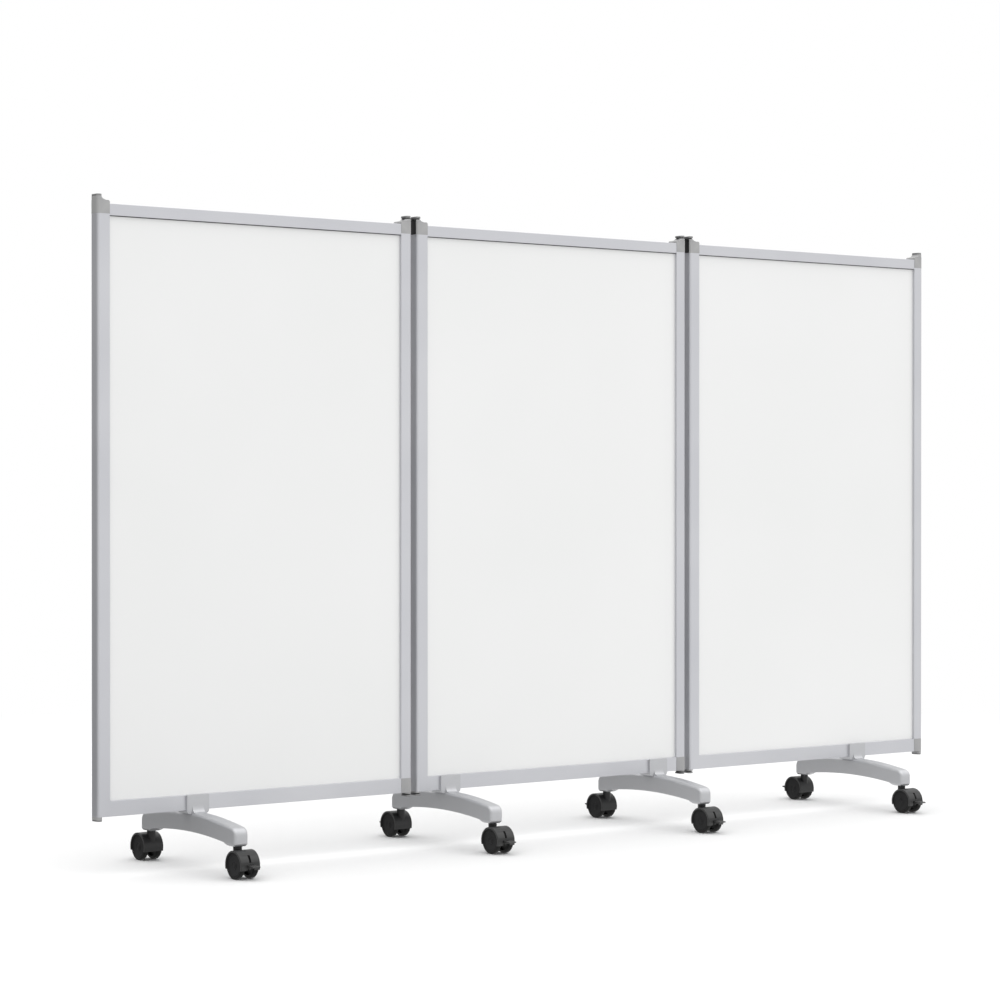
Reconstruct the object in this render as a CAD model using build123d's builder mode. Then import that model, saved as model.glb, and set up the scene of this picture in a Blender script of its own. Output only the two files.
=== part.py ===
from build123d import *
import os

# Rolling whiteboard: three framed, double-sided boards in one line, folding on double-pivot hinges,
# carried by four arched feet with two hooded twin-wheel castors each.
# X runs along the boards, -Y is the front, Z is up. The origin is on the floor, below the middle
# of the middle board.

os.makedirs("parts", exist_ok=True)

# ---------------------------------------------------------------- driving dimensions, millimetres
overall_height = 1829.0
panel_width = 1034.0
panel_gap = 18.0
rail_bottom_z = 164.0
rail_top_z = 1804.0

# Frame extrusions
stile_size = 38.0
stile_corner_radius = 9.0
inner_edge_radius = 0.8
wall = 2.0
rail_depth = 37.0
rail_edge_radius = 1.0
top_rail_height = 31.0
bottom_rail_height = 42.0
slot_depth = 10.0

# Board
board_thickness = 21.0
sheet_thickness = 0.5
board_engagement = 8.0

# Corner caps
cap_proud = 0.3
top_cap_bottom_z = 1777.0
top_cap_top_z = 1813.0
cap_raise_width = 17.5
cap_raise_depth = 36.0
cap_raise_radius = 8.5
cap_shoulder_round = 5.0
spigot_length = 40.0
tongue_length = 30.0
slide_gap = 0.5

# Hinges
pivot_inset = 12.0
pin_radius = 4.0
running_gap = 0.05
moving_gap = 0.3
link_width = 18.0
link_thickness = 3.0
top_head_height = 5.4
bottom_head_height = 4.4
head_width = 17.0
head_depth = 34.0
head_radius = 7.5
pin_grip = 34.0

# Feet
outer_foot_inset = 309.0
inner_foot_inset = 117.0
foot_width = 44.0
foot_half_length = 246.0
foot_crown_z = 157.0
foot_end_top_z = 133.0
foot_under_z = 85.0
foot_arch_z = 106.0
foot_arch_end_z = 94.0
boss_inner_y = 206.0
arch_end_y = 190.0
foot_roof = 7.0
foot_side_wall = 4.5
saddle_width = 70.0
saddle_plate = 6.5
saddle_base_z = 154.0
saddle_corner = 10.0
flare_reach = 16.0
flare_rise = 18.0

# Castors
castor_y = 225.0
castor_trail = 25.0
wheel_radius = 37.5
wheel_inner_x = 14.0
wheel_hub_x = 8.6
hub_radius = 10.0
tread_inner_round = 5.0
tread_outer_round = 3.0
wheel_outer_x = 28.6
axle_radius = 4.0
axle_half_length = 23.5
hood_radius = 40.0
hood_inner_radius = 38.2
hood_half_width = 30.5
hood_lip = 1.5
hood_lip_radius = 35.0
hood_skirt_z = 26.0
hood_front_edge = 3.5
web_half_width = 8.0
neck_radius = 12.0
neck_top_z = 84.4
neck_bottom_z = 50.0
pintle_radius = 4.0
pintle_bottom_z = 53.0
thread_radius = 4.95
stem_top_z = 124.0
pedal_half_width = 12.0
pedal_root = 42.6
pedal_tip = 71.0
arm_half_width = 2.2
slot_half_width = 2.6
slit_half_width = 3.4
brake_pivot_y = 24.0
brake_pivot_z = 14.0
trunnion_radius = 2.0
trunnion_half_length = 7.7

# ---------------------------------------------------------------- derived sizes and places
panel_pitch = panel_width + panel_gap
inner_half = panel_width / 2 - stile_size
sight_bottom_z = rail_bottom_z + bottom_rail_height
sight_top_z = rail_top_z - top_rail_height
top_head_bottom_z = overall_height - top_head_height
top_link_z = top_head_bottom_z - moving_gap - link_thickness
bottom_link_z = rail_bottom_z - 4.0 - moving_gap - link_thickness
bottom_head_top_z = bottom_link_z - moving_gap
link_pitch = panel_gap + 2 * pivot_inset
slot_block = slot_depth + wall
spigot_width = stile_size - wall - slot_block - 2 * slide_gap
spigot_depth = stile_size - 2 * wall - 2 * slide_gap
spigot_shift = slot_block / 2 - wall / 2

panels = {"left": -panel_pitch, "middle": 0.0, "right": panel_pitch}
# Which ends of each panel are hinged to a neighbour
hinged = {"left": (False, True), "middle": (True, True), "right": (True, False)}
outer_foot_x = panel_pitch + panel_width / 2 - outer_foot_inset
inner_foot_x = panel_width / 2 - inner_foot_inset
feet = {
    "left": {"foot_left": -outer_foot_x},
    "middle": {"foot_middle_left": -inner_foot_x, "foot_middle_right": inner_foot_x},
    "right": {"foot_right": outer_foot_x},
}


def save(piece, name):
    """Labels one finished piece and writes it as its own STEP file."""
    piece.label = name
    export_step(piece, f"parts/{name}.step")


def across(x, y, z, facing=1):
    """Side-view plane at a point: its x runs along facing * Y, its y runs up."""
    return Plane(origin=(x, y, z), x_dir=(0, facing, 0), z_dir=(facing, 0, 0))


# ---------------------------------------------------------------- frame
def make_stiles(centre):
    """Two upright hollow extrusions with a slot for the board in their inner faces.
    The right one stands on a corner cap, so it starts higher."""
    with BuildPart() as stiles:
        for side, bottom_z in ((-1, rail_bottom_z), (1, sight_bottom_z)):
            x = centre + side * (panel_width / 2 - stile_size / 2)
            outer = 0 if side < 0 else -1
            inner = -1 if side < 0 else 0
            with BuildSketch(Plane(origin=(x, 0, bottom_z))) as section:
                Rectangle(stile_size, stile_size)
                fillet(section.vertices().group_by(Axis.X)[outer], stile_corner_radius)
                fillet(section.vertices().group_by(Axis.X)[inner], inner_edge_radius)
                hollow = stile_size - 2 * wall
                RectangleRounded(hollow, hollow, stile_corner_radius - wall, mode=Mode.SUBTRACT)
                with Locations((-side * (stile_size - slot_block) / 2, 0)):
                    Rectangle(slot_block, board_thickness + 2 * wall)
                with Locations((-side * (stile_size - slot_depth) / 2, 0)):
                    Rectangle(slot_depth, board_thickness, mode=Mode.SUBTRACT)
            extrude(amount=top_cap_bottom_z - bottom_z)
    return stiles.part


def make_rails(centre):
    """Top and bottom hollow rails between the stiles, each slotted for the board."""
    with BuildPart() as rails:
        for height, middle_z, opening in (
            (top_rail_height, rail_top_z - top_rail_height / 2, -1),
            (bottom_rail_height, rail_bottom_z + bottom_rail_height / 2, 1),
        ):
            with BuildSketch(across(centre - inner_half, 0, middle_z)):
                RectangleRounded(rail_depth, height, rail_edge_radius)
                Rectangle(rail_depth - 2 * wall, height - 2 * wall, mode=Mode.SUBTRACT)
                with Locations((0, opening * (height - slot_block) / 2)):
                    Rectangle(board_thickness + 2 * wall, slot_block)
                with Locations((0, opening * (height - slot_depth) / 2)):
                    Rectangle(board_thickness, slot_depth, mode=Mode.SUBTRACT)
            extrude(amount=2 * inner_half)
    return rails.part


board_width = 2 * (inner_half + board_engagement)
board_height = sight_top_z - sight_bottom_z + 2 * board_engagement
board_middle_z = (sight_top_z + sight_bottom_z) / 2


def make_core(centre):
    """Lightweight core of the board, held in the slots of the frame."""
    with BuildPart() as core:
        with Locations((centre, 0, board_middle_z)):
            Box(board_width, board_thickness - 2 * sheet_thickness, board_height)
    return core.part


def make_writing_sheets(centre):
    """Front and back enamelled steel writing sheets, bonded to the core."""
    face_y = (board_thickness - sheet_thickness) / 2
    with BuildPart() as sheets:
        with Locations((centre, -face_y, board_middle_z), (centre, face_y, board_middle_z)):
            Box(board_width, sheet_thickness, board_height)
    return sheets.part


def make_corner_caps(centre, hinged_left, hinged_right):
    """Four moulded corner pieces: full blocks at the two top corners and the bottom right one,
    and a short end plug at the bottom left. Each has a raised outer half and a spigot in its
    stile, and each full block has a tongue in its rail and a relief for the board's corner."""
    block_width = stile_size + cap_proud
    block_depth = stile_size + 2 * cap_proud
    with BuildPart() as caps:
        for side, is_hinged in ((-1, hinged_left), (1, hinged_right)):
            edge_x = centre + side * panel_width / 2
            block_x = edge_x - side * (stile_size - cap_proud) / 2
            raise_x = edge_x - side * (cap_raise_width / 2 - cap_proud)
            spigot_x = edge_x - side * (stile_size / 2 - spigot_shift)
            outer = 0 if side < 0 else -1
            inner = -1 if side < 0 else 0
            for up in (1, -1):
                full = up > 0 or side > 0
                if up > 0:
                    block_start, block_end = top_cap_bottom_z, top_cap_top_z
                    tip_z = top_link_z - moving_gap if is_hinged else top_head_bottom_z
                    board_end = sight_top_z + board_engagement + slide_gap
                    tongue_z = (sight_top_z + slot_block + rail_top_z - wall) / 2
                    tongue_height = top_rail_height - slot_block - wall - 2 * slide_gap
                else:
                    block_start, block_end = sight_bottom_z, rail_bottom_z
                    tip_z = bottom_link_z + link_thickness + moving_gap if is_hinged else bottom_head_top_z
                    board_end = sight_bottom_z - board_engagement - slide_gap
                    tongue_z = (sight_bottom_z - slot_block + rail_bottom_z + wall) / 2
                    tongue_height = bottom_rail_height - slot_block - wall - 2 * slide_gap
                spigot_start = block_start if full else block_end
                if full:
                    with BuildSketch(Plane(origin=(block_x, 0, block_start))) as block:
                        Rectangle(block_width, block_depth)
                        fillet(block.vertices().group_by(Axis.X)[outer], stile_corner_radius + cap_proud)
                    extrude(amount=block_end - block_start)
                    if up > 0:
                        end_face = caps.faces(Select.LAST).sort_by(Axis.Z)[-1]
                        fillet(end_face.edges().sort_by(Axis.X)[inner], cap_shoulder_round)
                with BuildSketch(Plane(origin=(raise_x, 0, block_end))):
                    RectangleRounded(cap_raise_width, cap_raise_depth, cap_raise_radius)
                extrude(amount=tip_z - block_end)
                with BuildSketch(Plane(origin=(spigot_x, 0, spigot_start))):
                    RectangleRounded(spigot_width, spigot_depth, stile_corner_radius - wall - slide_gap)
                extrude(amount=-up * spigot_length)
                if full:
                    tongue_x = edge_x - side * (stile_size + tongue_length / 2)
                    with Locations((tongue_x, 0, tongue_z)):
                        Box(tongue_length, rail_depth - 2 * wall - 2 * slide_gap, tongue_height)
                    relief_width = board_engagement + slide_gap
                    relief_x = edge_x - side * (stile_size - relief_width / 2)
                    with Locations((relief_x, 0, (block_start + board_end) / 2)):
                        Box(relief_width, board_thickness + 2 * slide_gap, abs(board_end - block_start),
                            mode=Mode.SUBTRACT)
                with Locations((edge_x - side * pivot_inset, 0, tip_z - up * pin_grip / 2)):
                    Cylinder(pin_radius + running_gap, pin_grip + 2 * moving_gap, mode=Mode.SUBTRACT)
    return caps.part


# ---------------------------------------------------------------- hinges
def make_hinge_pins(centre):
    """Dark corner plugs: a rounded head over the outer half of each corner cap, with the pin
    that a hinge link turns on."""
    with BuildPart() as pins:
        for side in (-1, 1):
            edge_x = centre + side * panel_width / 2
            for head_z, height, up in (
                (top_head_bottom_z, top_head_height, 1),
                (bottom_head_top_z, bottom_head_height, -1),
            ):
                with BuildSketch(Plane(origin=(edge_x - side * head_width / 2, 0, head_z))):
                    RectangleRounded(head_width, head_depth, head_radius)
                extrude(amount=up * height)
                head_face = pins.faces(Select.LAST).sort_by(Axis.Z)[-1 if up > 0 else 0]
                fillet(head_face.edges(), 1.2)
                with BuildSketch(Plane(origin=(edge_x - side * pivot_inset, 0, head_z))):
                    Circle(pin_radius)
                extrude(amount=-up * (pin_grip - 2))
    return pins.part


def make_hinge_link(middle_x):
    """Top and bottom link plates between two neighbouring panels, with an eye for each pin."""
    with BuildPart() as link:
        for z in (top_link_z, bottom_link_z):
            with BuildSketch(Plane(origin=(middle_x, 0, z))):
                SlotCenterToCenter(link_pitch, link_width)
                with Locations((-link_pitch / 2, 0), (link_pitch / 2, 0)):
                    Circle(pin_radius + running_gap, mode=Mode.SUBTRACT)
            extrude(amount=link_thickness)
    return link.part


# ---------------------------------------------------------------- feet
def make_foot(x):
    """Cast arched foot: a beam along Y that is hollow underneath, a saddle that clasps the
    bottom rail, and a bored boss for a castor stem near each end."""
    side_x = x - foot_width / 2
    inside_y = rail_depth / 2 + 0.2
    plate_y = inside_y + saddle_plate
    with BuildPart() as foot:
        with BuildSketch(across(side_x, 0, 0)) as outline:
            with BuildLine():
                ThreePointArc(
                    (-foot_half_length, foot_end_top_z),
                    (0, foot_crown_z),
                    (foot_half_length, foot_end_top_z),
                )
                Polyline(
                    (foot_half_length, foot_end_top_z),
                    (foot_half_length, foot_under_z),
                    (boss_inner_y, foot_under_z),
                    (arch_end_y, foot_arch_end_z),
                )
                ThreePointArc(
                    (arch_end_y, foot_arch_end_z), (0, foot_arch_z), (-arch_end_y, foot_arch_end_z)
                )
                Polyline(
                    (-arch_end_y, foot_arch_end_z),
                    (-boss_inner_y, foot_under_z),
                    (-foot_half_length, foot_under_z),
                    (-foot_half_length, foot_end_top_z),
                )
            make_face()
            ends = outline.vertices().filter_by(lambda v: abs(v.X) > foot_half_length - 1)
            fillet(ends.group_by(Axis.Y)[-1], 22)
            fillet(outline.vertices().filter_by(lambda v: v.Y < foot_under_z + 1 and abs(v.X) > 240), 9)
        extrude(amount=foot_width)
        crown_edges = foot.edges().filter_by(
            lambda e: abs(abs(e.center().X - x) - foot_width / 2) < 0.01
            and (e.center().Z > foot_arch_z + 1 or abs(e.center().Y) > foot_half_length - 2)
        )
        fillet(crown_edges, 9)
        with BuildSketch(across(side_x + foot_side_wall, 0, 0)):
            with BuildLine():
                ThreePointArc(
                    (-arch_end_y, foot_end_top_z),
                    (0, foot_crown_z - foot_roof),
                    (arch_end_y, foot_end_top_z),
                )
                Polyline(
                    (arch_end_y, foot_end_top_z),
                    (arch_end_y, foot_under_z - 5),
                    (-arch_end_y, foot_under_z - 5),
                    (-arch_end_y, foot_end_top_z),
                )
            make_face()
        extrude(amount=foot_width - 2 * foot_side_wall, mode=Mode.SUBTRACT)
        with BuildSketch(Plane(origin=(x, plate_y, 0), x_dir=(1, 0, 0), z_dir=(0, -1, 0))) as plate:
            with Locations((0, (sight_bottom_z + saddle_base_z) / 2)):
                Rectangle(saddle_width, sight_bottom_z - saddle_base_z)
            fillet(plate.vertices().group_by(Axis.Y)[0], saddle_corner)
            fillet(plate.vertices().group_by(Axis.Y)[-1], 2)
        extrude(amount=2 * plate_y)
        for facing in (-1, 1):
            with BuildSketch(across(x, 0, 0, facing)):
                with BuildLine():
                    Bezier(
                        (plate_y + flare_reach, foot_crown_z - 1),
                        (plate_y + 1, foot_crown_z),
                        (plate_y, foot_crown_z + flare_rise),
                    )
                    Polyline(
                        (plate_y, foot_crown_z + flare_rise),
                        (plate_y - 2, foot_crown_z + flare_rise),
                        (plate_y - 2, foot_crown_z - 4),
                        (plate_y + flare_reach, foot_crown_z - 4),
                        (plate_y + flare_reach, foot_crown_z - 1),
                    )
                make_face()
            extrude(amount=foot_width / 2 - 4, both=True)
        with Locations((x, 0, rail_bottom_z + 30)):
            Box(saddle_width + 2, 2 * inside_y, 60, mode=Mode.SUBTRACT)
        for y in (-castor_y, castor_y):
            with Locations((x, y, (foot_under_z + stem_top_z) / 2)):
                Cylinder(thread_radius + running_gap, stem_top_z - foot_under_z + 1, mode=Mode.SUBTRACT)
    return foot.part


def make_castor_stems(foot_places):
    """Steel stems of one panel's castors: threaded in the foot, with a plain pintle below."""
    with BuildPart() as stems:
        for x in foot_places:
            for y in (-castor_y, castor_y):
                with BuildSketch(Plane(origin=(x, y, pintle_bottom_z))):
                    Circle(pintle_radius)
                extrude(amount=foot_under_z - pintle_bottom_z)
                with BuildSketch(Plane(origin=(x, y, foot_under_z))):
                    Circle(thread_radius)
                extrude(amount=stem_top_z - foot_under_z)
    return stems.part


# ---------------------------------------------------------------- castors
def make_housing(x, swivel_y, facing):
    """Hooded castor body with a neck that turns on the stem, a central web between the wheels,
    a fork for the brake lever on its trailing side, and the steel axle fixed through it."""
    axle_y = swivel_y + facing * castor_trail
    side_view = across(x, axle_y, wheel_radius, facing)
    skirt = hood_skirt_z - wheel_radius
    cavity_width = hood_half_width - hood_lip - web_half_width
    with BuildPart() as housing:
        with BuildSketch(side_view):
            Circle(hood_radius)
            with Locations((0, skirt - hood_radius)):
                Rectangle(4 * hood_radius, 2 * hood_radius, mode=Mode.SUBTRACT)
        extrude(amount=hood_half_width, both=True)
        rim_edges = housing.edges().filter_by(GeomType.CIRCLE).filter_by(
            lambda e: abs(abs(e.center().X - x) - hood_half_width) < 0.01
        )
        fillet(rim_edges, 1.4)
        with BuildSketch(Plane(origin=(x, swivel_y, neck_bottom_z))):
            Circle(neck_radius)
        extrude(amount=neck_top_z - neck_bottom_z)
        fillet(housing.faces(Select.LAST).sort_by(Axis.Z)[-1].edges(), 1)
        for side in (-1, 1):
            with BuildSketch(side_view.offset(side * web_half_width)):
                Circle(hood_inner_radius)
            extrude(amount=side * cavity_width, mode=Mode.SUBTRACT)
            with BuildSketch(side_view.offset(side * web_half_width)):
                Circle(hood_lip_radius)
            extrude(amount=side * hood_half_width, mode=Mode.SUBTRACT)
        # The hood stops higher between the wheels, above the pedal
        with BuildSketch(side_view):
            with Locations((hood_radius, hood_front_edge - hood_radius / 2)):
                Rectangle(20, hood_radius)
        extrude(amount=pedal_half_width + 1, both=True, mode=Mode.SUBTRACT)
        # Fork for the lever arm, and the slit above it
        with BuildSketch(side_view):
            Circle(hood_inner_radius - 0.8)
            with Locations((hood_radius / 2 + 14, 8)):
                Rectangle(hood_radius, 42, mode=Mode.INTERSECT)
        extrude(amount=slot_half_width, both=True, mode=Mode.SUBTRACT)
        with BuildSketch(side_view):
            with Locations((34, 19)):
                Rectangle(18, 19)
        extrude(amount=slit_half_width, both=True, mode=Mode.SUBTRACT)
        with BuildSketch(side_view):
            Circle(axle_radius + running_gap)
            with Locations((brake_pivot_y, brake_pivot_z)):
                Circle(trunnion_radius + running_gap)
        extrude(amount=web_half_width + 1, both=True, mode=Mode.SUBTRACT)
        with BuildSketch(Plane(origin=(x, swivel_y, pintle_bottom_z - moving_gap))):
            Circle(pintle_radius + running_gap)
        extrude(amount=neck_top_z, mode=Mode.SUBTRACT)
        with BuildSketch(side_view):
            Circle(axle_radius)
        extrude(amount=axle_half_length, both=True)
    return housing.part


def make_wheel(x, axle_y, side):
    """One moulded wheel, turned about the axle: tread, dished inner side and closed outer face."""
    section_plane = Plane(origin=(x, axle_y, wheel_radius), x_dir=(1, 0, 0), z_dir=(0, -1, 0))
    bore = axle_radius + running_gap
    bore_end = axle_half_length + moving_gap
    outline = [
        (bore_end, 0),
        (wheel_outer_x - 0.6, 0),
        (wheel_outer_x - 0.6, 6.5),
        (wheel_outer_x - 1.8, 8.5),
        (wheel_outer_x - 1.8, 30.5),
        (wheel_outer_x - 0.8, 32.0),
        (wheel_outer_x, 33.0),
        (wheel_outer_x, wheel_radius),
        (wheel_inner_x, wheel_radius),
        (wheel_inner_x, 31.5),
        (wheel_outer_x - 6.0, 31.0),
        (wheel_outer_x - 6.0, hub_radius + 1),
        (wheel_hub_x, hub_radius),
        (wheel_hub_x, bore),
        (bore_end, bore),
    ]
    with BuildPart() as wheel:
        with BuildSketch(section_plane) as section:
            with BuildLine():
                Polyline([(side * along, radius) for along, radius in outline], close=True)
            make_face()
            for order, radius in ((0, tread_inner_round), (-1, tread_outer_round)):
                tread_corners = section.vertices().group_by(Axis.Y)[-1].sort_by(lambda v: abs(v.X))
                fillet(tread_corners[order], radius)
        revolve(axis=Axis((x, axle_y, wheel_radius), (1, 0, 0)))
    return wheel.part


def make_brake_lever(x, axle_y, facing):
    """Foot pedal with an arm that pivots in the housing's fork on two trunnions."""
    side_view = across(x, axle_y, wheel_radius, facing)
    with BuildPart() as brake:
        with BuildSketch(side_view):
            with Locations((brake_pivot_y, brake_pivot_z)):
                Circle(4.2)
            with BuildLine():
                Polyline(
                    (brake_pivot_y - 3, brake_pivot_z - 3),
                    (brake_pivot_y + 3, brake_pivot_z + 3),
                    (37.0, 2.6),
                    (pedal_root + 1, 2.6),
                    (pedal_root + 1, -3.5),
                    (35.0, -3.5),
                    close=True,
                )
            make_face()
        extrude(amount=arm_half_width, both=True)
        with BuildSketch(side_view):
            with BuildLine():
                Polyline(
                    (pedal_root, 3.2),
                    (pedal_tip - 3, 2.4),
                    (pedal_tip, 0.5),
                    (pedal_tip - 2.5, -1.6),
                    (pedal_root, -5.5),
                    close=True,
                )
            make_face()
        extrude(amount=pedal_half_width, both=True)
        tip_edges = brake.edges().filter_by(
            lambda e: abs(abs(e.center().X - x) - pedal_half_width) < 0.01
            or (abs(abs(e.center().Y - axle_y) - pedal_tip) < 0.01)
        )
        fillet(tip_edges, 0.8)
        with BuildSketch(side_view):
            with Locations((brake_pivot_y, brake_pivot_z)):
                Circle(trunnion_radius)
        extrude(amount=trunnion_half_length, both=True)
    return brake.part


# ---------------------------------------------------------------- build and write every piece
for panel, centre_x in panels.items():
    save(make_stiles(centre_x), f"stiles_{panel}")
    save(make_rails(centre_x), f"rails_{panel}")
    save(make_core(centre_x), f"board_core_{panel}")
    save(make_writing_sheets(centre_x), f"writing_sheets_{panel}")
    save(make_corner_caps(centre_x, *hinged[panel]), f"corner_caps_{panel}")
    save(make_hinge_pins(centre_x), f"hinge_pins_{panel}")
    save(make_castor_stems(feet[panel].values()), f"castor_stems_{panel}")
    for foot_name, foot_x in feet[panel].items():
        save(make_foot(foot_x), foot_name)
        place = foot_name.removeprefix("foot_")
        for end, direction in (("front", -1), ("rear", 1)):
            pivot_y = direction * castor_y
            wheels_y = pivot_y + direction * castor_trail
            castor = f"{place}_{end}"
            save(make_housing(foot_x, pivot_y, direction), f"castor_housing_{castor}")
            save(make_wheel(foot_x, wheels_y, -1), f"castor_wheel_a_{castor}")
            save(make_wheel(foot_x, wheels_y, 1), f"castor_wheel_b_{castor}")
            save(make_brake_lever(foot_x, wheels_y, direction), f"brake_lever_{castor}")

save(make_hinge_link(-panel_pitch / 2), "hinge_links_left")
save(make_hinge_link(panel_pitch / 2), "hinge_links_right")
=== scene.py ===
import math

import bmesh
import bpy
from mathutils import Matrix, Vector


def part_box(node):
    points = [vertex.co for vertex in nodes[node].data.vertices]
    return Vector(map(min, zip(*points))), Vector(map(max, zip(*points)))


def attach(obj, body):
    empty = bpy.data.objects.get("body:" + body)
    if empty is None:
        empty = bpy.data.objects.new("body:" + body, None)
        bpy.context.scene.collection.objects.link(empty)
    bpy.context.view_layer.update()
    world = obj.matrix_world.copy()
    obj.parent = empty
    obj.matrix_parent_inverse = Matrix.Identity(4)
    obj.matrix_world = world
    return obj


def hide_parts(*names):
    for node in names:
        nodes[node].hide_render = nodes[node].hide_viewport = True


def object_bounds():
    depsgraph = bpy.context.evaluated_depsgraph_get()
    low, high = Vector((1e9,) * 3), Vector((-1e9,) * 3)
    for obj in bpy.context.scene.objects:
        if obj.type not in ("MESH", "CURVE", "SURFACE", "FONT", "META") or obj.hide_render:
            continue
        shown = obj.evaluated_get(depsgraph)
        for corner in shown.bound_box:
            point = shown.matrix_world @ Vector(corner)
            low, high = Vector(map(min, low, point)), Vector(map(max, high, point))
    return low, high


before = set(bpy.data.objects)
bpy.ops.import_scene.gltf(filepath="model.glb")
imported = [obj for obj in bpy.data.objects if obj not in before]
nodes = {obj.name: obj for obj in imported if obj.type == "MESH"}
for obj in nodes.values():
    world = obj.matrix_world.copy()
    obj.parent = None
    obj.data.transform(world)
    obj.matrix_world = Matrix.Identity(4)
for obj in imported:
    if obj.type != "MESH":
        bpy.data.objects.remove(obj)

# Looks for the rolling whiteboard. Metres, in the frame of the CAD model: X along the boards,
# -Y the front, Z up, the origin on the floor under the middle board.

cad_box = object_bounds()
cad_top = cad_box[1][2]
scene = bpy.context.scene
scene.view_settings.view_transform = "Standard"

PANELS = ("left", "middle", "right")
FOOT_PANEL = {"left": "left", "middle_left": "middle", "middle_right": "middle", "right": "right"}
CASTORS = [f"{foot}_{end}" for foot in FOOT_PANEL for end in ("front", "rear")]

# ---------------------------------------------------------------- camera
CAMERA_PLACE = (-5.322, -6.642, 1.045)
CAMERA_TILT = math.radians(89.745)
CAMERA_TURN = math.radians(-37.64)
CAMERA_LENS = 101.78

camera_data = bpy.data.cameras.new("camera")
camera_data.lens = CAMERA_LENS
camera_data.sensor_width = 36.0
camera_data.clip_end = 200.0
camera = bpy.data.objects.new("camera", camera_data)
camera.location = CAMERA_PLACE
camera.rotation_euler = (CAMERA_TILT, 0.0, CAMERA_TURN)
scene.collection.objects.link(camera)
scene.camera = camera


# ---------------------------------------------------------------- node helpers
class Nodes:
    """Short ways to add nodes to one tree."""

    def __init__(self, tree):
        self.tree = tree

    def add(self, kind, **settings):
        node = self.tree.nodes.new(kind)
        for key, value in settings.items():
            setattr(node, key, value)
        return node

    def join(self, output, socket):
        self.tree.links.new(output, socket)

    def spread(self, value, low, high, start=0.3, end=0.7):
        """Maps the value from start..end to low..high."""
        node = self.add("ShaderNodeMapRange")
        limits = {"From Min": start, "From Max": end, "To Min": low, "To Max": high}
        for socket, number in limits.items():
            node.inputs[socket].default_value = number
        self.join(value, node.inputs["Value"])
        return node.outputs["Result"]

    def dot(self, vector, direction):
        node = self.add("ShaderNodeVectorMath", operation="DOT_PRODUCT")
        node.inputs[1].default_value = direction
        self.join(vector, node.inputs[0])
        return node.outputs["Value"]

    def weigh(self, factor, first, second):
        """Number between two outputs or constants."""
        node = self.add("ShaderNodeMix", data_type="FLOAT")
        self.join(factor, node.inputs["Factor"])
        for socket, value in (("A", first), ("B", second)):
            if isinstance(value, float):
                node.inputs[socket].default_value = value
            else:
                self.join(value, node.inputs[socket])
        return node.outputs["Result"]


class Shader(Nodes):
    """A Principled material and short ways to add texture nodes that drive it."""

    def __init__(self, name, **constants):
        self.material = bpy.data.materials.new(name)
        self.material.use_nodes = True
        super().__init__(self.material.node_tree)
        self.bsdf = self.tree.nodes["Principled BSDF"]
        self.place = self.add("ShaderNodeTexCoord").outputs["Object"]
        for socket, value in constants.items():
            self.bsdf.inputs[socket.replace("_", " ")].default_value = value

    def stretched(self, scale):
        """Object coordinates stretched by a scale for each axis."""
        node = self.add("ShaderNodeMapping")
        node.inputs["Scale"].default_value = scale
        self.join(self.place, node.inputs["Vector"])
        return node.outputs["Vector"]

    def noise(self, scale, detail=3.0, roughness=0.5, vector=None):
        node = self.add("ShaderNodeTexNoise")
        node.inputs["Scale"].default_value = scale
        node.inputs["Detail"].default_value = detail
        node.inputs["Roughness"].default_value = roughness
        self.join(vector or self.place, node.inputs["Vector"])
        return node.outputs["Fac"]

    def cells(self, scale):
        node = self.add("ShaderNodeTexVoronoi")
        node.inputs["Scale"].default_value = scale
        self.join(self.place, node.inputs["Vector"])
        return node.outputs["Distance"]

    def blend(self, factor, first, second):
        """Colour between two constants."""
        node = self.add("ShaderNodeMix", data_type="RGBA")
        node.inputs["A"].default_value = (*first, 1.0)
        node.inputs["B"].default_value = (*second, 1.0)
        self.join(factor, node.inputs["Factor"])
        return node.outputs["Result"]

    def toward(self, factor, output, constant):
        """Colour between an output and a constant."""
        node = self.add("ShaderNodeMix", data_type="RGBA")
        node.inputs["B"].default_value = (*constant, 1.0)
        self.join(output, node.inputs["A"])
        self.join(factor, node.inputs["Factor"])
        return node.outputs["Result"]

    def sum(self, first, second, weight=1.0):
        node = self.add("ShaderNodeMath", operation="MULTIPLY_ADD")
        self.join(second, node.inputs[0])
        node.inputs[1].default_value = weight
        self.join(first, node.inputs[2])
        return node.outputs["Value"]

    def edge_wear_and_highlight(self, low=0.47, high=0.56):
        """1 on sharp outer edges, 0 on flats, from the pointiness of the mesh."""
        return self.spread(self.add("ShaderNodeNewGeometry").outputs["Pointiness"], 0.0, 1.0, low, high)

    def colour(self, output):
        self.join(output, self.bsdf.inputs["Base Color"])

    def roughness(self, output):
        self.join(output, self.bsdf.inputs["Roughness"])

    def bump(self, height, distance, strength=1.0):
        node = self.add("ShaderNodeBump")
        node.inputs["Distance"].default_value = distance
        node.inputs["Strength"].default_value = strength
        self.join(height, node.inputs["Height"])
        self.join(node.outputs["Normal"], self.bsdf.inputs["Normal"])


# ---------------------------------------------------------------- materials
def anodised_aluminium(name, along):
    """Satin anodised extrusion: fine die lines along its length and slight tone bands."""
    shader = Shader(name, Metallic=0.72)
    grain = [900.0, 900.0, 900.0]
    grain[along] = 2.0
    lines = shader.noise(1.0, 4.0, 0.6, shader.stretched(grain))
    cloud = shader.noise(3.0, 2.0)
    shader.colour(shader.blend(shader.spread(cloud, 0, 1), (0.565, 0.57, 0.6), (0.61, 0.615, 0.64)))
    shader.roughness(shader.spread(lines, 0.36, 0.46))
    shader.bump(lines, 0.00002, 0.6)
    return shader.material


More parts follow.
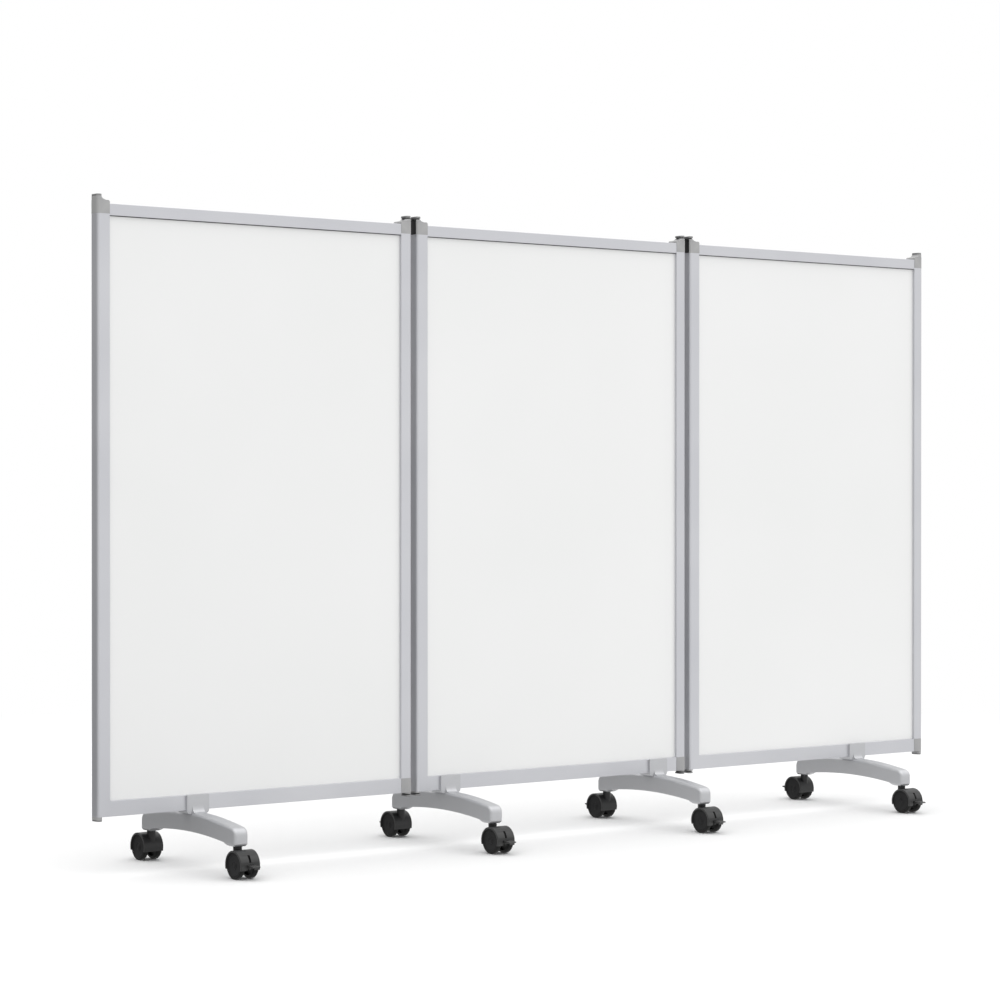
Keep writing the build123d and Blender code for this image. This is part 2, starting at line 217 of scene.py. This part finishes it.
def glossy_enamel(name):
    """Vitreous enamel on steel: white, glossy, a little wavy, with faint wiping marks."""
    shader = Shader(name, Coat_Weight=0.35, Coat_Roughness=0.06)
    wipes = shader.noise(1.0, 5.0, 0.6, shader.stretched((2.2, 2.2, 9.0)))
    cloud = shader.noise(1.6, 2.0)
    shader.colour(shader.blend(shader.spread(cloud, 0, 1), (0.80, 0.805, 0.80), (0.82, 0.822, 0.82)))
    shader.roughness(shader.spread(wipes, 0.16, 0.27))
    shader.bump(shader.noise(26.0, 3.0, 0.55), 0.00012, 0.25)
    return shader.material


def honeycomb_core(name):
    """Kraft honeycomb board, seen only at the board's edges."""
    shader = Shader(name, Roughness=0.85)
    comb = shader.cells(140.0)
    shader.colour(shader.blend(shader.spread(comb, 0, 1, 0.1, 0.7), (0.42, 0.3, 0.17), (0.6, 0.46, 0.3)))
    shader.bump(comb, 0.0006, 0.8)
    return shader.material


def moulded_plastic(name, dark, light, rough, grain=1700.0, depth=0.00006, wear_and_highlight=None, shine=0.45):
    """Injection-moulded plastic: fine spark-eroded grain, mottled tone, and paler sharp edges that are
    partly rubbed wear and partly a painted edge highlight.
    """
    shader = Shader(name, Specular_IOR_Level=shine)
    speck = shader.noise(grain, 2.0, 0.6)
    cloud = shader.noise(45.0, 3.0, 0.55)
    tone = shader.blend(shader.spread(cloud, 0, 1), dark, light)
    # Sharp edges turn paler: partly rubbed wear, partly a painted edge highlight.
    if wear_and_highlight:
        tone = shader.toward(shader.edge_wear_and_highlight(), tone, wear_and_highlight)
    shader.colour(tone)
    shader.roughness(shader.spread(shader.sum(speck, cloud, 0.5), rough - 0.06, rough + 0.08, 0.5, 1.0))
    shader.bump(speck, depth, 0.7)
    return shader.material


def silver_paint(name):
    """Silver powder coat on a cast foot: metal flake, orange peel and slightly uneven sheen."""
    shader = Shader(name, Metallic=0.55, Coat_Weight=0.25, Coat_Roughness=0.18)
    flake = shader.cells(2600.0)
    peel = shader.noise(420.0, 2.0, 0.5)
    glint = shader.spread(flake, 0, 1, 0.1, 0.6)
    shader.colour(shader.blend(glint, (0.575, 0.58, 0.6), (0.48, 0.485, 0.5)))
    shader.roughness(shader.spread(shader.noise(30.0, 3.0), 0.32, 0.42))
    shader.bump(shader.sum(peel, flake, 0.25), 0.00012, 0.5)
    return shader.material


def satin_metal(name, dark, light, rough, metallic=1.0, grain=(300.0, 300.0, 300.0)):
    """Painted or turned small metal parts with faint tool marks."""
    shader = Shader(name, Metallic=metallic)
    marks = shader.noise(1.0, 3.0, 0.6, shader.stretched(grain))
    shader.colour(shader.blend(shader.spread(marks, 0, 1), dark, light))
    shader.roughness(shader.spread(marks, rough - 0.06, rough + 0.08))
    shader.bump(marks, 0.00003, 0.5)
    return shader.material


MATERIALS = {
    "upright": anodised_aluminium("anodised_upright", along=2),
    "crosswise": anodised_aluminium("anodised_rail", along=0),
    "enamel": glossy_enamel("white_enamel"),
    "core": honeycomb_core("board_core"),
    "cap": moulded_plastic(
        "cap_grey", (0.305, 0.305, 0.31), (0.33, 0.33, 0.335), 0.42, wear_and_highlight=(0.38, 0.38, 0.38),
    ),
    "plug": moulded_plastic(
        "plug_dark", (0.135, 0.135, 0.14), (0.17, 0.17, 0.175), 0.4, wear_and_highlight=(0.25, 0.25, 0.25),
    ),
    "link": satin_metal("link_black", (0.012, 0.012, 0.013), (0.03, 0.03, 0.03), 0.42, metallic=0.0),
    "foot": silver_paint("foot_silver"),
    "hood": moulded_plastic(
        "hood_black", (0.009, 0.009, 0.0095), (0.015, 0.015, 0.0155), 0.36,
        wear_and_highlight=(0.045, 0.045, 0.045), shine=0.32,
    ),
    "disc": moulded_plastic(
        "disc_black", (0.006, 0.006, 0.0065), (0.01, 0.01, 0.0105), 0.42, shine=0.24,
    ),
    "tread": moulded_plastic(
        "tread_black", (0.004, 0.004, 0.004), (0.007, 0.007, 0.007), 0.55,
        grain=900.0, depth=0.0001, shine=0.22,
    ),
    # dark strips that paint the shadow under the top rails
    "rail_shadow": moulded_plastic(
        "rail_shadow_dark", (0.05, 0.05, 0.052), (0.07, 0.07, 0.072), 0.6, grain=1200.0, shine=0.25,
    ),
    "steel": satin_metal(
        "stem_steel", (0.5, 0.5, 0.51), (0.62, 0.62, 0.63), 0.3, grain=(80.0, 80.0, 2500.0),
    ),
}


FACE_WEIGHT = 100


def paint(piece, material):
    """Gives a piece one material in place of any that it has."""
    piece.data.materials.clear()
    piece.data.materials.append(MATERIALS[material])
    return piece


def finish_node(node, material):
    """Gives a CAD node its material and lets its large faces lead the shading of its edges."""
    piece = paint(nodes[node], material)
    evened = piece.modifiers.new("evened_shading", "WEIGHTED_NORMAL")
    evened.keep_sharp = True
    evened.weight = FACE_WEIGHT


PANEL_NODES = {
    "stiles": "upright",
    "rails": "crosswise",
    "board_core": "core",
    "writing_sheets": "enamel",
    "corner_caps": "cap",
    "hinge_pins": "plug",
    "castor_stems": "steel",
}

for panel in PANELS:
    for stem, material in PANEL_NODES.items():
        finish_node(f"{stem}_{panel}", material)
for side in ("left", "right"):
    finish_node(f"hinge_links_{side}", "link")
for foot in FOOT_PANEL:
    finish_node(f"foot_{foot}", "foot")
for castor in CASTORS:
    finish_node(f"castor_housing_{castor}", "hood")
    finish_node(f"brake_lever_{castor}", "hood")


# ---------------------------------------------------------------- mesh helpers
def new_piece(name, mesh_data, material, body, crease=35.0):
    """Makes an object from a bmesh, smooth apart from edges sharper than crease degrees."""
    mesh = bpy.data.meshes.new(name)
    bmesh.ops.recalc_face_normals(mesh_data, faces=mesh_data.faces)
    mesh_data.to_mesh(mesh)
    mesh_data.free()
    mesh.shade_smooth()
    mesh.set_sharp_from_angle(angle=math.radians(crease))
    piece = bpy.data.objects.new(name, mesh)
    scene.collection.objects.link(piece)
    paint(piece, material)
    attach(piece, body)
    return piece


def lathe(outline, centre, side, steps=96):
    """Turns (distance along X, radius) points about the X axis through centre; side is -1 or 1.
    The section is closed from its last point to its first, unless it starts on the axis."""
    made = bmesh.new()
    rings = []
    for along, radius in outline:
        if radius == 0:
            rings.append([made.verts.new(centre + Vector((side * along, 0, 0)))])
            continue
        ring = []
        for step in range(steps):
            angle = 2 * math.pi * step / steps
            offset = Vector((side * along, radius * math.cos(angle), radius * math.sin(angle)))
            ring.append(made.verts.new(centre + offset))
        rings.append(ring)
    starts_on_axis = outline[0][1] == 0
    following = rings[1:] if starts_on_axis else rings[1:] + rings[:1]
    for first, second in zip(rings, following):
        for step in range(steps):
            after = (step + 1) % steps
            corners = [first[step % len(first)], first[after % len(first)],
                       second[after % len(second)], second[step % len(second)]]
            distinct = [corner for index, corner in enumerate(corners) if corner not in corners[:index]]
            if len(distinct) > 2:
                made.faces.new(distinct)
    return made


def rounded(outline, steps=5):
    """Points of an outline, in which a corner with a third number is rounded off to that radius."""
    places = [Vector(corner[:2]) for corner in outline]
    made = []
    for index, corner in enumerate(outline):
        if len(corner) == 2:
            made.append(corner)
            continue
        here = places[index]
        radius = corner[2]
        before = (places[index - 1] - here).normalized()
        after = (places[(index + 1) % len(places)] - here).normalized()
        half = before.angle(after) / 2
        middle = here + (before + after).normalized() * (radius / math.sin(half))
        start = here + before * (radius / math.tan(half)) - middle
        end = here + after * (radius / math.tan(half)) - middle
        for step in range(steps + 1):
            made.append(tuple(middle + start.slerp(end, step / steps).normalized() * radius))
    return made


# ---------------------------------------------------------------- castor wheels
# Places along the axle, from the middle of the castor outwards.
HUB_INNER = 0.0086
WHEEL_INNER = 0.014
BORE_END = 0.0238
WHEEL_OUTER = 0.0286
HUB_FACE = WHEEL_OUTER - 0.0006
INNER_RING_FACE = WHEEL_OUTER - 0.0012
OUTER_RING_FACE = WHEEL_OUTER - 0.0014
COLLAR_FACE = WHEEL_OUTER - 0.0018
SUNK_FACE = WHEEL_OUTER - 0.0022
DISHED_FACE = WHEEL_OUTER - 0.0065
# Radii about the axle.
BORE_RADIUS = 0.00405
HUB_CAP_RADIUS = 0.0055
COLLAR_START = 0.0068
COLLAR_END = 0.0084
INNER_RING_RADIUS = 0.0098
HUB_RADIUS = 0.010
OUTER_RING_RADIUS = 0.0268
WHEEL_RIM = 0.0315
WHEEL_RADIUS = 0.0375
# Widths and bevels.
RING_WIDTH = 0.0014
RING_FLANK = 0.0008
RIM_BEVEL = 0.0006
RIM_LIP = 0.0025
RIM_THICKNESS = 0.0035
HUB_TAPER = 0.001
TREAD_BEVEL = 0.0012
# Corner radii.
RING_ROUND = 0.0003
HUB_CAP_ROUND = 0.0004
HUB_ROUND = 0.0008
DISH_ROUND = 0.002
TREAD_OUTER_ROUND = 0.003
TREAD_INNER_ROUND = 0.005


def face_ring(radius, raised):
    """Four outline points of a low ring on the wheel's outer face."""
    outer = radius + RING_WIDTH
    return [
        (SUNK_FACE, radius - RING_FLANK),
        (raised, radius, RING_ROUND),
        (raised, outer, RING_ROUND),
        (SUNK_FACE, outer + RING_FLANK),
    ]


def disc_outline():
    """Half section of the disc, from the middle of its outer face round the rim into the bore."""
    return rounded([
        (HUB_FACE, 0.0),
        (HUB_FACE, HUB_CAP_RADIUS, HUB_CAP_ROUND),
        (COLLAR_FACE, COLLAR_START),
        (COLLAR_FACE, COLLAR_END),
        *face_ring(INNER_RING_RADIUS, INNER_RING_FACE),
        *face_ring(OUTER_RING_RADIUS, OUTER_RING_FACE),
        (SUNK_FACE, WHEEL_RIM - RING_FLANK),
        (OUTER_RING_FACE, WHEEL_RIM),
        (WHEEL_INNER + RIM_BEVEL, WHEEL_RIM),
        (WHEEL_INNER, WHEEL_RIM - RIM_BEVEL),
        (WHEEL_INNER, WHEEL_RIM - RIM_LIP),
        (DISHED_FACE, WHEEL_RIM - RIM_THICKNESS, DISH_ROUND),
        (DISHED_FACE, HUB_RADIUS + HUB_TAPER, DISH_ROUND),
        (HUB_INNER, HUB_RADIUS, HUB_ROUND),
        (HUB_INNER, BORE_RADIUS),
        (BORE_END, BORE_RADIUS),
    ])


def tread_outline():
    """Section of the running tread, rounded towards the floor."""
    return rounded([
        (WHEEL_INNER, WHEEL_RIM),
        (WHEEL_OUTER - TREAD_BEVEL, WHEEL_RIM),
        (WHEEL_OUTER, WHEEL_RIM + TREAD_BEVEL),
        (WHEEL_OUTER, WHEEL_RADIUS, TREAD_OUTER_ROUND),
        (WHEEL_INNER, WHEEL_RADIUS, TREAD_INNER_ROUND),
    ], steps=8)


def make_wheel(castor, letter):
    """A moulded disc with a ringed face and a separate running tread, in place of the CAD wheel."""
    low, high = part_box(f"castor_wheel_{letter}_{castor}")
    housing_low, housing_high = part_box(f"castor_housing_{castor}")
    centre = Vector(((housing_low.x + housing_high.x) / 2, (low.y + high.y) / 2, WHEEL_RADIUS))
    side = -1 if letter == "a" else 1
    body = f"wheel_{letter}_{castor}"
    disc = lathe(disc_outline(), centre, side)
    piece = new_piece(f"wheel_disc_{letter}_{castor}", disc, "disc", body)
    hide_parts(f"castor_wheel_{letter}_{castor}")
    tread = lathe(tread_outline(), centre, side)
    new_piece(f"wheel_tread_{letter}_{castor}", tread, "tread", body)


for castor in CASTORS:
    for letter in ("a", "b"):
        make_wheel(castor, letter)


# ---------------------------------------------------------------- corner cap steps
# Sizes of the top corner caps: the shoulder, the raised part beyond it and the room over that.
CAP_SHOULDER_Z = 1.813
CAP_REACH = 0.0335
RAISE_WIDTH = 0.0175
RAISE_DEPTH = 0.036
RAISE_RADIUS = 0.0085
CAP_SKIN = 0.00005
CAP_PROUD = 0.0003
CAP_ROOT = 0.0002
CAP_LAYERS = 10
CAP_SWEEP = 2.2
HEAD_HEIGHT = 0.0054
LINK_ROOM = 0.0036
# Whether a panel has a hinge at its left end and at its right end.
HINGED = {"left": (False, True), "middle": (True, True), "right": (True, False)}


def rounded_ring(made, low_x, high_x, half_depth, radius, z, steps=6):
    """Vertices of one rounded rectangle at height z, in order round it."""
    corners = ((high_x - radius, half_depth - radius, 0), (low_x + radius, half_depth - radius, 1),
               (low_x + radius, radius - half_depth, 2), (high_x - radius, radius - half_depth, 3))
    ring = []
    for x, y, quarter in corners:
        for step in range(steps + 1):
            angle = (quarter + step / steps) * math.pi / 2
            ring.append(made.verts.new((x + radius * math.cos(angle), y + radius * math.sin(angle), z)))
    return ring


def stack(made, rings):
    """Closed skin over rings that have the same number of vertices."""
    for below, above in zip(rings, rings[1:]):
        for index in range(len(below)):
            after = (index + 1) % len(below)
            made.faces.new((below[index], below[after], above[after], above[index]))
    made.faces.new(list(reversed(rings[0])))
    made.faces.new(rings[-1])


def make_cap_steps(panel):
    """The curved step from the shoulder of each top corner cap up to its raised outer part, a
    little inside the faces of the CAD cap."""
    low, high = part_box(f"stiles_{panel}")
    made = bmesh.new()
    for side, edge, is_hinged in ((-1, low.x, HINGED[panel][0]), (1, high.x, HINGED[panel][1])):
        outer = edge + side * (CAP_PROUD - CAP_SKIN)
        top = cad_top - HEAD_HEIGHT - (LINK_ROOM if is_hinged else 0.0) - CAP_SKIN
        rings = []
        for layer in range(CAP_LAYERS + 1):
            rise = layer / CAP_LAYERS
            width = RAISE_WIDTH - CAP_SKIN + (CAP_REACH - RAISE_WIDTH) * (1 - rise) ** CAP_SWEEP
            z = CAP_SHOULDER_Z - CAP_ROOT + (top - CAP_SHOULDER_Z + CAP_ROOT) * rise
            ends = sorted((outer, outer - side * width))
            rings.append(rounded_ring(made, *ends, RAISE_DEPTH / 2 - CAP_SKIN, RAISE_RADIUS, z))
        stack(made, rings)
    new_piece(f"cap_steps_{panel}", made, "cap", f"{panel}_panel")


for panel in PANELS:
    make_cap_steps(panel)


# ---------------------------------------------------------------- hinge plates, partly painted shade in the cap gaps
PLATE_PROUD = 0.0006
PLATE_SUNK = 0.0024
PLATE_HALF_DEPTH = 0.0135
PLATE_LOW = 1.7776
PLATE_ROOM = 0.0004
PLATE_ROUND = 0.0005
PLATE_CORNER = 0.0011


def make_hinge_and_gap_shade_plates(panel):
    """Black plates on the gap side of the top corner caps, at the hinged ends of a panel: partly the
    hinge's dark web and partly painted shade in the gap between the caps.
    """
    low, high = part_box(f"stiles_{panel}")
    top = cad_top - HEAD_HEIGHT - LINK_ROOM - PLATE_ROOM
    levels = (
        (PLATE_LOW, PLATE_ROUND),
        (PLATE_LOW + PLATE_ROUND, 0.0),
        (top - PLATE_ROUND, 0.0),
        (top, PLATE_ROUND),
    )
    made = bmesh.new()
    for side, edge, is_hinged in ((-1, low.x, HINGED[panel][0]), (1, high.x, HINGED[panel][1])):
        if not is_hinged:
            continue
        rings = []
        for z, inset in levels:
            outer = edge + side * (CAP_PROUD + PLATE_PROUD - inset)
            ends = sorted((outer, edge - side * (PLATE_SUNK - inset)))
            rings.append(rounded_ring(made, *ends, PLATE_HALF_DEPTH - inset, PLATE_CORNER, z))
        stack(made, rings)
    # black plates: partly hinge, partly painted shade in the gap between the caps
    new_piece(f"hinge_and_gap_shade_plates_{panel}", made, "link", f"{panel}_panel")


# ---------------------------------------------------------------- painted shadow strips under the top rails
# Sizes of the dark strips that paint the shadow under the top rails.
SHADOW_STRIP_HEIGHT = 0.0019
SHADOW_STRIP_ROOT = 0.0103
SHADOW_STRIP_FACE = 0.0126
SHADOW_STRIP_GAP = 0.0001
SHADOW_STRIP_ROUND = 0.0007
SHADOW_STRIP_EDGE = 0.0004
SIGHT_TOP = 1.773
STILE_WIDTH = 0.038


def make_rail_shadow_strips(panel):
    """Dark strips under the top rail, on both faces of the board: painted shadow where the rail shades
    the board, not a real part.
    """
    low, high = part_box(f"stiles_{panel}")
    start = low.x + STILE_WIDTH + SHADOW_STRIP_GAP
    end = high.x - STILE_WIDTH - SHADOW_STRIP_GAP
    made = bmesh.new()
    for side in (-1, 1):
        outline = rounded([
            (side * SHADOW_STRIP_ROOT, SIGHT_TOP - SHADOW_STRIP_GAP),
            (side * SHADOW_STRIP_ROOT, SIGHT_TOP - SHADOW_STRIP_HEIGHT, SHADOW_STRIP_EDGE),
            (side * SHADOW_STRIP_FACE, SIGHT_TOP - SHADOW_STRIP_HEIGHT, SHADOW_STRIP_ROUND),
            (side * SHADOW_STRIP_FACE, SIGHT_TOP - SHADOW_STRIP_GAP, SHADOW_STRIP_EDGE),
        ])
        stack(made, [[made.verts.new((x, y, z)) for y, z in outline] for x in (start, end)])
    new_piece(f"rail_shadow_strips_{panel}", made, "rail_shadow", f"{panel}_panel")


for panel in PANELS:
    make_hinge_and_gap_shade_plates(panel)
    make_rail_shadow_strips(panel)


# ---------------------------------------------------------------- pedal grips
GRIP_PLACES = (0.0495, 0.0550, 0.0605)
GRIP_HALF_LENGTH = 0.0098
GRIP_RADIUS = 0.0011
GRIP_FLATNESS = 0.7
GRIP_SIDES = 12
# Places along a rib, as parts of its half length, with its thickness at each.
GRIP_TAPER = ((-1, 0.35), (-0.93, 0.8), (-0.85, 1.0), (0.85, 1.0), (0.93, 0.8), (1, 0.35))
# Line of the pedal's top face: it starts at PEDAL_TOP, PEDAL_ROOT outwards from the axle.
PEDAL_SLOPE = -0.8 / 25.4
PEDAL_ROOT = 0.0426
PEDAL_TOP = 0.0407


def make_grips(castor):
    """Three rounded ribs across the top of a brake pedal."""
    housing_low, housing_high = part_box(f"castor_housing_{castor}")
    wheel_low, wheel_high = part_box(f"castor_wheel_a_{castor}")
    middle_x = (housing_low.x + housing_high.x) / 2
    axle_y = (wheel_low.y + wheel_high.y) / 2
    facing = -1 if castor.endswith("front") else 1
    made = bmesh.new()
    for reach in GRIP_PLACES:
        z = PEDAL_TOP + PEDAL_SLOPE * (reach - PEDAL_ROOT)
        rings = []
        for along, size in GRIP_TAPER:
            ring = []
            for step in range(GRIP_SIDES):
                angle = 2 * math.pi * step / GRIP_SIDES
                ring.append(made.verts.new((
                    middle_x + along * GRIP_HALF_LENGTH,
                    axle_y + facing * reach + size * GRIP_RADIUS * math.cos(angle),
                    z + GRIP_FLATNESS * size * GRIP_RADIUS * math.sin(angle),
                )))
            rings.append(ring)
        stack(made, rings)
    body = f"brake_{castor}"
    new_piece(f"pedal_grips_{castor}", made, "hood", body, crease=60.0)


for castor in CASTORS:
    make_grips(castor)


# ---------------------------------------------------------------- floor and light
FLOOR_SIZE = 60.0
FLOOR_GREY = (0.8, 0.8, 0.8, 1.0)
FADE_START = 2.4
FADE_END = 5.0
# Painted bounce light: the floor glows up at the object, dim behind the boards and bright in front of
# them.
FLOOR_FRONT = (0.35, -0.94, 0.0)
FLOOR_BACK_REACH = -1.5
FLOOR_FRONT_REACH = 0.5
FLOOR_BACK_LEVEL = 0.22
FLOOR_FRONT_LEVEL = 0.95
# Light of the studio round the object.
BRIGHT_SIDE = (0.6256, -0.7801, 0.0)
BACK_LEVEL = 0.36
FRONT_LEVEL = 1.0
OVERHEAD_LEVEL = 2.0
OVERHEAD_START = 0.3
OVERHEAD_END = 0.9
BACKDROP_LEVEL = 1.0


def floor_material():
    """Grey-white floor that fades to plain white far from the object. Rays from the object itself meet
    a glowing floor in place of the lit one: painted bounce light, bright in front of the boards and dim
    behind and to the left."""
    shader = Shader("floor_white", Roughness=0.9, Specular_IOR_Level=0.1, Base_Color=FLOOR_GREY)
    distance = shader.add("ShaderNodeVectorMath", operation="LENGTH")
    shader.join(shader.place, distance.inputs[0])
    fade = shader.spread(distance.outputs["Value"], 0.0, 1.0, FADE_START, FADE_END)
    white = shader.add("ShaderNodeEmission")
    seen_floor = shader.add("ShaderNodeMixShader")
    shader.join(fade, seen_floor.inputs[0])
    shader.join(shader.bsdf.outputs[0], seen_floor.inputs[1])
    shader.join(white.outputs[0], seen_floor.inputs[2])
    bounce = shader.add("ShaderNodeEmission")
    ahead = shader.dot(shader.place, FLOOR_FRONT)
    level = shader.spread(ahead, FLOOR_BACK_LEVEL, FLOOR_FRONT_LEVEL, FLOOR_BACK_REACH, FLOOR_FRONT_REACH)
    shader.join(level, bounce.inputs["Strength"])
    pick = shader.add("ShaderNodeMixShader")
    shader.join(shader.add("ShaderNodeLightPath").outputs["Is Camera Ray"], pick.inputs[0])
    shader.join(bounce.outputs[0], pick.inputs[1])
    shader.join(seen_floor.outputs[0], pick.inputs[2])
    shader.join(pick.outputs[0], shader.tree.nodes["Material Output"].inputs["Surface"])
    return shader.material


def make_floor():
    """One large square at z = 0."""
    floor_mesh = bpy.data.meshes.new("floor")
    half = FLOOR_SIZE / 2
    corners = [(-half, -half, 0), (half, -half, 0), (half, half, 0), (-half, half, 0)]
    floor_mesh.from_pydata(corners, [], [(0, 1, 2, 3)])
    floor_mesh.materials.append(floor_material())
    floor = bpy.data.objects.new("floor", floor_mesh)
    scene.collection.objects.link(floor)


def make_world():
    """Soft studio dome: bright at the front right, dim at the back left, brightest overhead, and a
    white backdrop for the camera."""
    world = bpy.data.worlds.new("studio")
    world.use_nodes = True
    sky = Nodes(world.node_tree)
    background = world.node_tree.nodes["Background"]
    background.inputs["Color"].default_value = (1.0, 1.0, 1.0, 1.0)
    direction = sky.add("ShaderNodeTexCoord").outputs["Generated"]
    height = sky.dot(direction, (0.0, 0.0, 1.0))
    lift = sky.spread(height, 0.0, 1.0, OVERHEAD_START, OVERHEAD_END)
    horizon = sky.spread(sky.dot(direction, BRIGHT_SIDE), BACK_LEVEL, FRONT_LEVEL, -1.0, 1.0)
    level = sky.weigh(lift, horizon, OVERHEAD_LEVEL)
    seen = sky.add("ShaderNodeLightPath").outputs["Is Camera Ray"]
    sky.join(sky.weigh(seen, level, BACKDROP_LEVEL), background.inputs["Strength"])
    scene.world = world


make_floor()
make_world()
